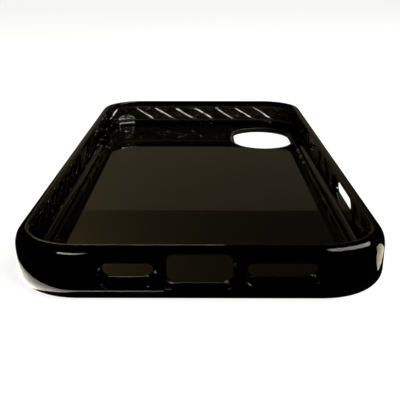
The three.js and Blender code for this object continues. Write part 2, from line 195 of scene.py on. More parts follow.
def cut(piece, cutters):
    for cutter in cutters:
        knife = piece.modifiers.new("cut", "BOOLEAN")
        knife.operation = "DIFFERENCE"
        knife.solver = "EXACT"
        knife.object = cutter
    settle(piece)
    for cutter in cutters:
        bpy.data.objects.remove(cutter)


def smooth_faces(piece, sharp_degrees=32):
    """Shades the piece smooth, but for edges sharper than the angle, and keeps its flats flat."""
    for polygon in piece.data.polygons:
        polygon.use_smooth = True
    piece.data.set_sharp_from_angle(angle=math.radians(sharp_degrees))
    weighted = piece.modifiers.new("flat stays flat", "WEIGHTED_NORMAL")
    weighted.keep_sharp = True
    weighted.weight = 100
    settle(piece)


def ellipse_arc(centre, reach, start_degrees, end_degrees, steps):
    points = []
    for step in range(steps + 1):
        angle = math.radians(start_degrees + (end_degrees - start_degrees) * step / steps)
        points.append((centre[0] + reach[0] * math.cos(angle), centre[1] + reach[1] * math.sin(angle)))
    return points


def rounded_rectangle(width, height, radius, steps=8):
    """The outline as flat (across, up) points round its own middle."""
    x, y = width / 2 - radius, height / 2 - radius
    points = []
    for sign_x, sign_y, start in ((1, 1, 0), (-1, 1, 90), (-1, -1, 180), (1, -1, 270)):
        points += ellipse_arc((sign_x * x, sign_y * y), (radius, radius), start, start + 90, steps)
    return points


def ease(share):
    """A share from 0 to 1 that starts and ends gently."""
    return share * share * (3 - 2 * share)


print("points in a softly cornered square:", len(rounded_rectangle(10 * MM, 10 * MM, 2 * MM)))

# %% [markdown]
# ## The finishes
# Smoked plastic isn't painted: it is clear plastic with dye all through it. A thin edge lets a lot
# of light pass and looks amber, and a wall a couple of millimetres thick looks nearly black. A dark
# base colour can't do that, so the shader is a clear one with an absorbing volume inside, and each
# piece's own thickness makes its tone. Fine noise on roughness and height gives the slight
# unevenness of moulded plastic: shallow sink marks, and the haze of handling. A few helpers come
# first, so that a finish can be read as a list of what feeds what.

# %% Wiring a material
def new_material(name):
    material = bpy.data.materials.new(name)
    material.use_nodes = True
    return material, material.node_tree


def set_sockets(tree, node, sockets):
    """Gives each socket its value, or a wire where it is given another node's output."""
    for socket, value in sockets.items():
        if isinstance(value, bpy.types.NodeSocket):
            tree.links.new(value, node.inputs[socket])
        else:
            node.inputs[socket].default_value = value


def add_node(tree, kind, sockets, operation=None):
    node = tree.nodes.new(kind)
    if operation:
        node.operation = operation
    set_sockets(tree, node, sockets)
    return node


def add_ramp(tree, driver, first, last):
    """A blend between two (position, colour) stops."""
    ramp = add_node(tree, "ShaderNodeValToRGB", {"Fac": driver})
    for element, (position, colour) in zip(ramp.color_ramp.elements, (first, last)):
        element.position = position
        element.color = colour
    return ramp.outputs["Color"]


print("tools made:", [tool.__name__ for tool in (new_material, set_sockets, add_node, add_ramp)])


# %% Smoked plastic
def smoked_plastic(name, density, tint, roughness, haze, ripple, ripple_size, ior=1.49, specular=0.5):
    material, tree = new_material(name)
    place = add_node(tree, "ShaderNodeTexCoord", {}).outputs["Object"]
    cloud = add_node(tree, "ShaderNodeTexNoise", {"Vector": place, "Scale": 90.0, "Detail": 3.0})
    rough = add_node(tree, "ShaderNodeMapRange", {
        "Value": cloud.outputs["Fac"], "From Min": 0.35, "From Max": 0.75,
        "To Min": roughness, "To Max": roughness + haze})
    wave = add_node(tree, "ShaderNodeTexNoise", {"Vector": place, "Scale": ripple_size, "Detail": 2.0})
    sink_marks = add_node(tree, "ShaderNodeBump", {
        "Height": wave.outputs["Fac"], "Strength": ripple, "Distance": 0.2 * MM})
    set_sockets(tree, tree.nodes["Principled BSDF"], {
        "Transmission Weight": 1.0,
        "IOR": ior,
        "Specular IOR Level": specular,
        "Roughness": rough.outputs["Result"],
        "Base Color": add_ramp(tree, cloud.outputs["Fac"], (0.3, (0.93, 0.90, 0.84, 1)),
                               (0.7, (1.0, 0.985, 0.95, 1))),
        "Normal": sink_marks.outputs["Normal"],
    })
    dye = add_node(tree, "ShaderNodeVolumeAbsorption", {"Color": tint, "Density": density})
    set_sockets(tree, tree.nodes["Material Output"], {"Volume": dye.outputs["Volume"]})
    return material


GREEN_SMOKE = (0.28, 0.26, 0.14, 1)
AMBER_SMOKE = (0.30, 0.285, 0.16, 1)
panel_finish = smoked_plastic(
    "smoked_panel_plastic", density=4200.0, tint=GREEN_SMOKE, roughness=0.01, haze=0.015,
    ripple=0.012, ripple_size=40.0)
frame_finish = smoked_plastic(
    "smoked_frame_plastic", density=6000.0, tint=AMBER_SMOKE, roughness=0.015, haze=0.02,
    ripple=0.012, ripple_size=160.0)
liner_finish = smoked_plastic(
    "liner_smoke_plastic", density=6500.0, tint=AMBER_SMOKE, roughness=0.02, haze=0.02,
    ripple=0.004, ripple_size=300.0, ior=1.45, specular=1.0)
key_finish = smoked_plastic(
    "key_smoke_plastic", density=6000.0, tint=GREEN_SMOKE, roughness=0.06, haze=0.05,
    ripple=0.04, ripple_size=260.0)
print("smoked finishes:", [m.name for m in (panel_finish, frame_finish, liner_finish, key_finish)])

# %% [markdown]
# The camera ring must not let the flash shine sideways into the lens, so it is solid black, with the
# fine satin grain that an eroded mould leaves. One very fine noise drives the tone, the roughness
# and the height together, so that the grain catches light as real grain does.

# %% Satin black
def satin_black():
    material, tree = new_material("satin_black")
    place = add_node(tree, "ShaderNodeTexCoord", {}).outputs["Object"]
    grain = add_node(tree, "ShaderNodeTexNoise", {"Vector": place, "Scale": 2600.0, "Detail": 2.0})
    rough = add_node(tree, "ShaderNodeMapRange", {
        "Value": grain.outputs["Fac"], "To Min": 0.34, "To Max": 0.5})
    eroded = add_node(tree, "ShaderNodeBump", {
        "Height": grain.outputs["Fac"], "Strength": 0.25, "Distance": 0.04 * MM})
    set_sockets(tree, tree.nodes["Principled BSDF"], {
        "Specular IOR Level": 0.25,
        "Base Color": add_ramp(tree, grain.outputs["Fac"], (0.0, (0.0008, 0.0008, 0.0008, 1)),
                               (1.0, (0.003, 0.0029, 0.0027, 1))),
        "Roughness": rough.outputs["Result"],
        "Normal": eroded.outputs["Normal"],
    })
    return material


ring_finish = satin_black()
print("ring finish:", ring_finish.name)

# %% [markdown]
# Every finished piece takes the place of one node of the fixed shape. One helper gives it its finish,
# hangs it on the body that carries it and hides the node that it stands for.


def dress(piece, finish, body, node):
    piece.data.materials.clear()
    piece.data.materials.append(finish)
    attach(piece, body)
    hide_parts(node)
    print(f"{piece.name}: {len(piece.data.polygons)} faces")


# %% [markdown]
# ## The bumper frame
# The frame is one moulding. Its cross-section has a well rounded outer edge top and bottom, a lip
# that leans in to hold the phone, and inside a foot that curves down onto the back sheet. It is
# swept once round the outline, then the openings are cut: three in the port end, each with a flared
# mouth so a thick plug fits, a window low in the right wall, one for the mute switch, and the key
# holes. A shallow pocket behind the lip takes the shock liner.

# %% The frame's cross-section
LOWER_ROUND = (2.3 * MM, 2.6 * MM)
UPPER_ROUND = (2.2 * MM, 3.7 * MM)
LIP_ROUND = 0.6 * MM
LIP_UNDERSIDE = HEIGHT - 0.9 * MM
WALL_TOP = HEIGHT - 1.7 * MM
FOOT_TOP = 3.1 * MM
FOOT_UNDERSIDE = 1.1 * MM
FOOT_TOE = BACK + 0.05 * MM


def frame_section(_along):
    """One closed outline of (inset, height), from the seam underneath, over the lip, to the foot."""
    lower = ellipse_arc(LOWER_ROUND, LOWER_ROUND, 270, 180, 12)
    upper = ellipse_arc((UPPER_ROUND[0], HEIGHT - UPPER_ROUND[1]), UPPER_ROUND, 180, 90, 14)
    lip = ellipse_arc(
        (LIP_INSET - LIP_ROUND, HEIGHT - LIP_ROUND), (LIP_ROUND, LIP_ROUND), 90, 0, 6)
    foot = ellipse_arc((FOOT_INSET, FOOT_TOP), (FOOT_INSET - WALL, FOOT_TOP - FOOT_TOE), 180, 270, 10)
    return (
        [(SEAM_INSET, 0.0)] + lower + upper + lip
        + [(LIP_INSET, LIP_UNDERSIDE), (WALL, WALL_TOP)]
        + foot + [(FOOT_INSET, FOOT_UNDERSIDE), (SEAM_INSET, FOOT_UNDERSIDE)]
    )


print("points in the frame's cross-section:", len(frame_section(0.0)))

# %% [markdown]
# The openings are tools to cut with, so each is a closed solid that stands a little proud of the
# wall on both sides. The port end's openings flare, because a plug's sleeve is wider than its tip:
# the tunnel is a stack of rounded rectangles that grows, gently at first and at the end, into its
# mouth. The windows in the long walls are plain tunnels with a slightly eased rim.

# %% Openings in the port end
# Each is (middle across, middle up, width, height) for the hole, then the same for its mouth, in mm.
PORT_END_OPENINGS = [
    ((-13.65, 6.3, 9.7, 3.0), (-13.65, 5.55, 11.3, 5.1)),
    ((0.0, 6.5, 12.6, 5.8), (0.0, 6.05, 14.0, 7.5)),
    ((15.7, 6.3, 13.4, 3.0), (15.8, 5.75, 15.2, 4.7)),
]
OVERRUN = 1.0 * MM
FLARE_START, FLARE_END = 1.2 * MM, 0.45 * MM
FLARE_STEPS = 14
HOLE_ROUND, MOUTH_ROUND = 1.45, 2.05


def port_end_cutter(index, hole, mouth):
    """A tunnel through the port end that opens out in one soft step to its mouth.

    Each stage is a depth behind the outer face, and a share of the way from the hole to the mouth.
    """
    stages = [(FOOT_INSET + OVERRUN, 0.0), (FLARE_START, 0.0)]
    for step in range(1, FLARE_STEPS + 1):
        share = step / FLARE_STEPS
        stages.append((FLARE_START + (FLARE_END - FLARE_START) * share, 0.99 * ease(share)))
    stages += [(-0.02 * MM, 1.0), (-OVERRUN, 1.12)]
    outlines = []
    for depth, share in stages:
        x, z, width, height = ((1 - share) * a + share * b for a, b in zip(hole, mouth))
        radius = HOLE_ROUND + (MOUTH_ROUND - HOLE_ROUND) * share
        outlines.append([
            Vector((MM * (x + across), depth - HALF_LENGTH, MM * (z + up)))
            for across, up in rounded_rectangle(width, height, radius)
        ])
    return loft(f"port cutter {index}", outlines)


print("openings in the port end:", len(PORT_END_OPENINGS))


# %% Openings in the long walls
BEYOND_WALL = HALF_WIDTH + OVERRUN
BEHIND_WALL = HALF_WIDTH - WALL - OVERRUN
CAP_HEIGHT = 3.2 * MM
FLANGE_BEYOND_CAP = 2.0 * MM
BARELY_ROUND = 0.01 * MM


def side_cutter(name, side, y, z, width, height, radius):
    """A window in a long wall, its rim eased by a hair. Places and sizes are in mm.

    Each stage is a distance from the case's middle, and how much the window has grown there.
    """
    stages = [(BEHIND_WALL, 0.0), (HALF_WIDTH - 0.25 * MM, 0.0), (HALF_WIDTH - 0.02 * MM, 0.36),
              (BEYOND_WALL, 0.5)]
    return loft(name, [
        [Vector((side * x, MM * (y + across), MM * (z + up)))
         for across, up in rounded_rectangle(width + grow, height + grow, radius + grow / 2)]
        for x, grow in stages
    ])


def key_hole(node, side):
    low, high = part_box(node)
    y, z = (low.y + high.y) / 2, (low.z + high.z) / 2
    length = high.y - low.y - FLANGE_BEYOND_CAP + 2 * GAP
    height = CAP_HEIGHT + 2 * GAP
    return loft(f"{node} hole", [
        [Vector((side * x, y + across, z + up))
         for across, up in rounded_rectangle(length, height, height / 2 - BARELY_ROUND)]
        for x in (BEHIND_WALL, BEYOND_WALL)
    ])


print(f"a key hole is {1000 * (CAP_HEIGHT + 2 * GAP):.1f} mm high")

# %% [markdown]
# The liner lies in shallow pockets behind the lip, and each key's flange has a pocket of its own.
# Full wall is left between the pockets and beside the two windows, so that light gets in only
# through the windows themselves. The places come from the fixed shape: a straight strip's span is
# read off its box, and only the ends that lie in a corner are worked out from the corner's length.

# %% What lies where round the wall
CUSHION_SHARE = 0.62  # of a corner's length
SWITCH_Y, SWITCH_LENGTH, BESIDE_WINDOW = 39.5 * MM, 10.5 * MM, 2.5 * MM


def along_right(y):
    return STRAIGHT_X + CORNER_LENGTH + STRAIGHT_Y - y


def strip_span(node):
    """Where a straight piece starts and ends along the outline, from its fixed box."""
    low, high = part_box(node)
    if high.x > 0:
        return along_right(high.y), along_right(low.y)
    return -along_right(low.y), -along_right(high.y)


far_left_end = -along_right(SWITCH_Y + SWITCH_LENGTH / 2 + BESIDE_WINDOW)
far_right_end = along_right(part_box("liner_far_end")[0].y)
LINER_SPANS = {
    "liner_far_end": (far_left_end, far_right_end),
    "liner_left_side": strip_span("liner_left_side"),
    "liner_right_middle": strip_span("liner_right_middle"),
    "liner_right_lower": strip_span("liner_right_lower"),
}
left_cushion_start = CORNERS[2][2] + CORNER_LENGTH * (1 - CUSHION_SHARE) - OUTLINE_LENGTH
right_cushion_end = CORNERS[1][2] + CORNER_LENGTH * CUSHION_SHARE
CUSHION_SPANS = {
    "corner_cushion_left": (left_cushion_start, LINER_SPANS["liner_left_side"][0] - GAP),
    "corner_cushion_right": (LINER_SPANS["liner_right_lower"][1] + GAP, right_cushion_end),
}
POCKET_SPANS = [
    LINER_SPANS["liner_far_end"],
    LINER_SPANS["liner_right_middle"],
    (LINER_SPANS["liner_right_lower"][0], right_cushion_end),
    (left_cushion_start, LINER_SPANS["liner_left_side"][1]),
    strip_span("volume_up_key"), strip_span("volume_down_key"), strip_span("side_key"),
]
for node, (start, end) in LINER_SPANS.items():
    print(f"{node}: {1000 * (end - start):.1f} mm long")


# %% Build the frame
CORNER_STEPS = 24


def pocket_section(_along):
    inner = WALL + 0.6 * MM
    return [(POCKET_INSET, POCKET_LOW), (inner, POCKET_LOW), (inner, POCKET_HIGH),
            (POCKET_INSET, POCKET_HIGH)]


def build_frame():
    body = sweep("frame_moulding", frame_section,
                 stations_between(0.0, OUTLINE_LENGTH, CORNER_STEPS)[:-1], closed=True)
    cutters = [sweep("pocket", pocket_section, stations_between(start - GAP, end + GAP, CORNER_STEPS))
               for start, end in POCKET_SPANS]
    for index, (hole, mouth) in enumerate(PORT_END_OPENINGS):
        cutters.append(port_end_cutter(index, hole, mouth))
    cutters.append(side_cutter(
        "card window", 1, y=-27.0, z=5.65, width=24.0, height=5.1, radius=2.0))
    cutters.append(side_cutter(
        "switch window", -1, y=SWITCH_Y / MM, z=5.8, width=SWITCH_LENGTH / MM, height=5.0, radius=2.4))
    cutters.append(key_hole("volume_up_key", -1))
    cutters.append(key_hole("volume_down_key", -1))
    cutters.append(key_hole("side_key", 1))
    cut(body, cutters)
    smooth_faces(body)
    return body


frame_moulding = build_frame()
dress(frame_moulding, frame_finish, "shell", "bumper_frame")

# %% [markdown]
# ## The back sheet
# A hard, mirror-smooth sheet. Its lower flange runs out under the frame's foot, and its raised middle
# is the floor that the phone lies on. Stacked outlines make it in one loft, with a small round at
# each edge, because a real moulded edge is never a perfect corner. The camera opening is cut last.

# %% Build the back sheet
def case_outline(inset, z):
    stops = stations_between(0.0, OUTLINE_LENGTH, CORNER_STEPS)[:-1]
    return [outline_point(stop, inset, z) for stop in stops]


CAMERA_X, CAMERA_Y = 22.1 * MM, 49.4 * MM
CAMERA_WIDTH, CAMERA_LENGTH = 20.2 * MM, 30.5 * MM
CAMERA_RING = 0.8 * MM


def camera_outline(margin, z):
    width = CAMERA_WIDTH + 2 * margin
    length = CAMERA_LENGTH + 2 * margin
    return [Vector((CAMERA_X + x, CAMERA_Y + y, z))
            for x, y in rounded_rectangle(width, length, width / 2 - BARELY_ROUND, 20)]


def build_panel():
    flange = SEAM_INSET + GAP
    raised = FOOT_INSET + GAP
    top_of_flange = 0.8 * MM
    edge = 0.12 * MM
    sheet = loft("back_sheet", [
        case_outline(flange + edge, 0.0),
        case_outline(flange, edge),
        case_outline(flange, top_of_flange - edge),
        case_outline(flange + edge, top_of_flange),
        case_outline(raised, top_of_flange + 0.02 * MM),
        case_outline(raised, BACK - edge),
        case_outline(raised + 0.3 * edge, BACK - 0.3 * edge),
        case_outline(raised + edge, BACK),
    ])
    room = CAMERA_RING + GAP
    hole = loft("camera cutter", [camera_outline(room, -OVERRUN), camera_outline(room, BACK + OVERRUN)])
    cut(sheet, [hole])
    smooth_faces(sheet)
    return sheet


back_sheet = build_panel()
dress(back_sheet, panel_finish, "shell", "back_panel")

# %% [markdown]
# ## The camera ring
# A slim ring with round ends, softened inside and chamfered outside so that it doesn't cut off the
# corners of a wide picture. Its outline is walked once for each step of its cross-section, and the
# loft closes on itself.

# %% Build the camera ring
def build_ring():
    chamfer = 0.45 * MM
    edge = 0.1 * MM
    section = [
        (chamfer, 0.0), (CAMERA_RING - edge, 0.0), (CAMERA_RING, edge), (CAMERA_RING, BACK - edge),
        (CAMERA_RING - edge, BACK), (2 * edge, BACK), (0.7 * edge, BACK - 0.5 * edge),
        (0.0, BACK - 2 * edge), (0.0, BACK / 2),
    ]
    ring = loft("camera_guard", [camera_outline(margin, z) for margin, z in section], closed=True)
    smooth_faces(ring, sharp_degrees=50)
    return ring


camera_guard = build_ring()
dress(camera_guard, ring_finish, "shell", "camera_ring")

# %% [markdown]
# ## The shock liner
# The liner is a thin elastic skin with a lattice of crossing ribs moulded on it. Ribs could be
# separate bars joined to the skin, but where they cross that leaves hard corners that a mould never
# has. Here the skin is a fine grid, and a rule says how high it stands at each spot: the height is
# the taller of the ribs that pass there. The ribs that fall along the wall are the tall ones, and
# the ribs that climb are lower, so at each crossing the low rib runs into the side of the tall one. A
# low bead runs along the foot of the skin.

# %% The height of the lattice
LINER_OUTER = POCKET_INSET + GAP
LINER_SKIN = 0.45 * MM
LINER_LOW = POCKET_LOW + GAP
LINER_HIGH = POCKET_HIGH - GAP
RIB_PITCH = 7.9 * MM
RIB_RUN = 7.3 * MM
RIB_MARGIN = 0.35 * MM
FIRST_RIB = 0.45 * MM
RIB_RISE = 4.3 * MM
FALLING_RIB = {"crest": 0.12 * MM, "foot": 1.3 * MM, "height": 0.45 * MM}
CLIMBING_RIB = {"crest": 0.15 * MM, "foot": 1.0 * MM, "height": 0.3 * MM}
BEAD_SHARE, BEAD_UP = 0.7, 0.3 * MM
LEAN = math.cos(math.atan2(RIB_RISE, RIB_RUN))  # turns a distance up the wall into one across a rib


def ridge(offset, rib):
    """How high a rib stands at a distance from its middle line."""
    flank = (rib["foot"] - rib["crest"]) / 2
    share = min(max((rib["foot"] / 2 - abs(offset)) / flank, 0.0), 1.0)
    return rib["height"] * (0.75 * share + 0.25 * ease(share))


def lattice_height(along, z, cells):
    cell = round((along - FIRST_RIB) / RIB_PITCH)
    tallest = 0.0
    for number in (cell - 1, cell, cell + 1):
        if number not in cells:
            continue
        share = (along - FIRST_RIB - number * RIB_PITCH) / RIB_RUN
        if abs(share) > 0.5:
            continue
        up = (z - (LINER_LOW + LINER_HIGH) / 2) * LEAN
        rise = RIB_RISE * share * LEAN
        tallest = max(tallest, ridge(up + rise, FALLING_RIB), ridge(up - rise, CLIMBING_RIB))
    return max(tallest, BEAD_SHARE * ridge(z - LINER_LOW - BEAD_UP, CLIMBING_RIB))


print(f"a falling rib leans {math.degrees(math.atan2(RIB_RISE, RIB_RUN)):.0f} degrees")


# %% A strip of skin with a relief
FADE_ROWS = 1.5
FADE_AT_ENDS = 0.2 * MM
FINE_CORNER_STEPS = 2 * CORNER_STEPS


def relief_strip(name, start, end, height_at, along_step, rows):
    """Flat behind, its face a grid whose height follows a rule and dies out at the edges."""
    stops = stations_between(start, end, FINE_CORNER_STEPS, along_step)
    levels = [LINER_LOW + (LINER_HIGH - LINER_LOW) * row / rows for row in range(rows + 1)]
    face_inset = LINER_OUTER + LINER_SKIN

    def section(along):
        front = []
        for row, z in enumerate(levels):
            from_end = min(along - start, end - along)
            share = min(1.0, min(row, rows - row) / FADE_ROWS, from_end / FADE_AT_ENDS + 0.001)
            front.append((face_inset + share * height_at(along, z), z))
        return [(LINER_OUTER, LINER_LOW)] + front + [(LINER_OUTER, LINER_HIGH)]

    strip = sweep(name, section, stops)
    smooth_faces(strip, sharp_degrees=75)
    return strip


print(f"the skin is {1000 * LINER_SKIN:.2f} mm thick and {1000 * (LINER_HIGH - LINER_LOW):.1f} mm high")


# %% Press the liner strips
def whole_cells(start, end):
    """The numbers of the lattice cells that fit whole between two places."""
    first = math.ceil((start + RIB_MARGIN + RIB_RUN / 2 - FIRST_RIB) / RIB_PITCH)
    last = math.floor((end - RIB_MARGIN - RIB_RUN / 2 - FIRST_RIB) / RIB_PITCH)
    return range(first, last + 1)


for node, (start, end) in LINER_SPANS.items():
    cells = whole_cells(start, end)
    strip = relief_strip(
        node.replace("liner", "ribbed_strip"), start, end,
        lambda along, z, cells=cells: lattice_height(along, z, cells),
        along_step=0.14 * MM, rows=46)
    dress(strip, liner_finish, "shell", node)

# %% [markdown]
# The port-end corners take the hardest knocks, so they get cushions with upright pillars that fold
# over one after another. The same relief strip makes them, with a rule for pillars in place of the
# lattice.

# %% Build the corner cushions
PILLARS = 5
PILLAR_RADIUS = 0.45 * MM


def pillar_height(start, end):
    spacing = (end - start) / PILLARS

    def height_at(along, _z):
        offset = (along - start) % spacing - spacing / 2
        return math.sqrt(max(PILLAR_RADIUS ** 2 - offset ** 2, 0.0))

    return height_at


for node, (start, end) in CUSHION_SPANS.items():
    cushion = relief_strip(node.replace("corner_cushion", "pillar_cushion"), start, end,
                           pillar_height(start, end), along_step=0.12 * MM, rows=12)
    dress(cushion, liner_finish, "shell", node)

# %% [markdown]
# ## The key covers
# Each key cover is a cap with a slightly crowned face that shows outside the wall, and a wider
# flange behind the wall that keeps it in. Stacked outlines again, from the flange's back to the
# crown. A key rides on its own body, because it is pressed in on its own.

# %% Build the key covers
CAP_EDGE = 0.35 * MM
EDGE_STEPS = 6
EDGE_SHARE = 0.82  # of the cap's last rise: the crown takes the rest
CROWN_RINGS = ((0.25, 0.03 * MM), (0.455, 0.0))  # (share of the way in, how far below the top)
FLANGE_EDGE = 0.05 * MM
FLANGE_THICKNESS = 0.5 * MM
FLANGE_ROUND = 1.2 * MM


def build_key(node, side, name):
    low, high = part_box(node)
    y, z = (low.y + high.y) / 2, (low.z + high.z) / 2
    flange = (high.y - low.y, high.z - low.z)
    cap = (flange[0] - FLANGE_BEYOND_CAP, CAP_HEIGHT)
    outside, back = max(abs(low.x), abs(high.x)), min(abs(low.x), abs(high.x))
    front = back + FLANGE_THICKNESS

    def ring_at(x, size, inset, radius):
        return [Vector((side * x, y + across, z + up)) for across, up in
                rounded_rectangle(size[0] - 2 * inset, size[1] - 2 * inset, radius - inset, 10)]

    round_end = CAP_HEIGHT / 2 - BARELY_ROUND
    outlines = [
        ring_at(back, flange, FLANGE_EDGE, FLANGE_ROUND),
        ring_at(back + FLANGE_EDGE, flange, 0.0, FLANGE_ROUND),
        ring_at(front - FLANGE_EDGE, flange, 0.0, FLANGE_ROUND),
        ring_at(front, flange, FLANGE_EDGE, FLANGE_ROUND),
        ring_at(front + 0.001 * MM, cap, 0.0, round_end),
        ring_at(outside - CAP_EDGE, cap, 0.0, round_end),
    ]
    for step in range(1, EDGE_STEPS + 1):
        angle = math.pi / 2 * step / EDGE_STEPS
        x = outside - CAP_EDGE + CAP_EDGE * EDGE_SHARE * math.sin(angle)
        outlines.append(ring_at(x, cap, CAP_EDGE * (1 - math.cos(angle)), round_end))
    crown = CAP_HEIGHT / 2 - CAP_EDGE
    for share, below in CROWN_RINGS:
        outlines.append(ring_at(outside - below, cap, CAP_EDGE + crown * share, round_end))
    key = loft(name, outlines)
    smooth_faces(key, sharp_degrees=50)
    return key


for node, side, body, name in (
        ("volume_up_key", -1, "volume_up", "volume_up_cap"),
        ("volume_down_key", -1, "volume_down", "volume_down_cap"),
        ("side_key", 1, "side", "side_cap")):
    dress(build_key(node, side, name), key_finish, body, node)

# %% [markdown]
# ## The studio
# Glossy dark plastic shows what is round it more than its own colour. So everything in the studio is
# chosen for what it draws on the case. The stage is a plain pale floor and dome that glow softly,
# which shine through the thin edges from below. The plastic doesn't mirror them: it mirrors cards,
# a ribbon and two soft boxes, each placed for one patch, stroke or rim of light.

# %% Floor and dome
def stage_piece(name, points, faces, material, unseen_by):
    """Adds a stage piece, and says which kinds of light ray don't see it."""
    piece = object_from(name, points, faces)
    piece.data.materials.append(material)
    piece.visible_camera = "camera" not in unseen_by
    piece.visible_diffuse = "diffuse" not in unseen_by
    piece.visible_glossy = "glossy" not in unseen_by
    piece.visible_transmission = "transmission" not in unseen_by
    piece.visible_shadow = "shadow" not in unseen_by


def glow_material(name, colour, strength):
    material, tree = new_material(name)
    tree.nodes.remove(tree.nodes["Principled BSDF"])
    glow = add_node(tree, "ShaderNodeEmission", {"Color": colour, "Strength": strength})
    set_sockets(tree, tree.nodes["Material Output"], {"Surface": glow.outputs["Emission"]})
    return material, tree, glow


def add_floor(reach=4.0, below=0.02 * MM):
    material, tree = new_material("pale_floor")
    set_sockets(tree, tree.nodes["Principled BSDF"], {
        "Base Color": (0.25, 0.25, 0.25, 1),
        "Roughness": 0.9,
        "Specular IOR Level": 0.0,
        "Emission Color": (1, 1, 0.995, 1),
        "Emission Strength": 0.9,
    })
    corners = [(-reach, -reach, -below), (reach, -reach, -below), (reach, reach, -below),
               (-reach, reach, -below)]
    stage_piece("pale_floor", corners, [(0, 1, 2, 3)], material, ("glossy",))


def add_dome():
    ball = bmesh.new()
    bmesh.ops.create_uvsphere(ball, u_segments=48, v_segments=24, radius=5.0)
    points = [vertex.co.copy() for vertex in ball.verts]
    faces = [[vertex.index for vertex in face.verts] for face in ball.faces]
    ball.free()
    material = glow_material("pale_dome", (1, 1, 1, 1), 1.0)[0]
    stage_piece("pale_dome", points, faces, material, ("glossy", "diffuse", "shadow"))


add_floor()
add_dome()

# %% [markdown]
# The cards that the plastic mirrors are thin glowing sheets. Only reflections see them: the camera
# looks straight past. The big one stands far behind the case. Its lower part is pale, which makes
# the light patch on the floor of the case, and a glow that dies away from one upper corner warms the
# left side of that patch. A brighter card above it is mirrored by the upper faces of the rim.

# %% The cards behind the case
def reflection_card(name, points, faces, material):
    stage_piece(name, points, faces, material, ("camera", "diffuse", "transmission", "shadow"))


def upright_card(name, material, left, right, low, high, distance):
    corners = [(left, distance, low), (right, distance, low),
               (right, distance, high), (left, distance, high)]
    reflection_card(name, corners, [(0, 1, 2, 3)], material)


CARD_DISTANCE = 0.9
PALE_BELOW = 0.344
PALE, DIM = (0.084, 0.070, 0.043, 1), (0.020, 0.017, 0.010, 1)
WARM_CORNER, WARM_GLOW = (-0.35, CARD_DISTANCE, 0.5), (0.40, 0.31, 0.135)
GLOW_LEFT = 0.000335  # what is left of the warm glow one metre from its corner


def back_card():
    material, tree, glow = glow_material("back_card", (1, 1, 1, 1), 1.0)
    place = add_node(tree, "ShaderNodeTexCoord", {}).outputs["Object"]
    split = add_node(tree, "ShaderNodeSeparateXYZ", {"Vector": place})
    above = add_node(tree, "ShaderNodeMath", {0: split.outputs["Z"], 1: PALE_BELOW}, "GREATER_THAN")
    tones = tree.nodes.new("ShaderNodeMix")
    tones.data_type = "RGBA"
    set_sockets(tree, tones, {"Factor": above.outputs["Value"], "A": PALE, "B": DIM})
    away = add_node(tree, "ShaderNodeVectorMath", {0: place, 1: WARM_CORNER}, "DISTANCE")
    dying = add_node(tree, "ShaderNodeMath", {0: GLOW_LEFT, 1: away.outputs["Value"]}, "POWER")
    warm = add_node(
        tree, "ShaderNodeVectorMath", {0: WARM_GLOW, "Scale": dying.outputs["Value"]}, "SCALE")
    both = add_node(
        tree, "ShaderNodeVectorMath", {0: tones.outputs["Result"], 1: warm.outputs["Vector"]}, "ADD")
    set_sockets(tree, glow, {"Color": both.outputs["Vector"]})
    upright_card("back_card", material, left=-0.36, right=0.36, low=-0.4, high=0.6,
                 distance=CARD_DISTANCE)


back_card()
window_glow = glow_material("window_card", (1.0, 0.93, 0.74, 1), 1.2)[0]
upright_card("window_card", window_glow, left=-0.42, right=0.045, low=0.53, high=0.78,
             distance=CARD_DISTANCE - 0.01)

# %% [markdown]
# Two more glowing sheets lie on the table itself. A cream slip runs out from the near right corner,
# and the rounded lower edge there mirrors it. A ribbon follows the near left corner round, and gives
# it a bright rim that thins out along the near edge. In the corner itself the ribbon slips a little
# way under the case's rounded lower edge. Both sheets lie a fifth of a millimetre up.

# %% The slip on the table
TABLE_SHEET = 0.2 * MM
slip_corners = [(42, -64), (50, -63), (300, 10), (300, 60), (46, -51)]
slip_glow = glow_material("side_slip", (1.0, 0.94, 0.66, 1), 2.0)[0]
reflection_card("side_slip", [(MM * x, MM * y, TABLE_SHEET) for x, y in slip_corners],
                [tuple(range(len(slip_corners)))], slip_glow)
print("slip corners, in mm:", slip_corners)


# %% The ribbon's glow
RIBBON_TAIL = 14.0 * MM


def fade_between(tree, driver, start, end, first, last):
    fade = add_node(tree, "ShaderNodeMapRange", {
        "Value": driver, "From Min": start, "From Max": end, "To Min": first, "To Max": last})
    return fade.outputs["Result"]


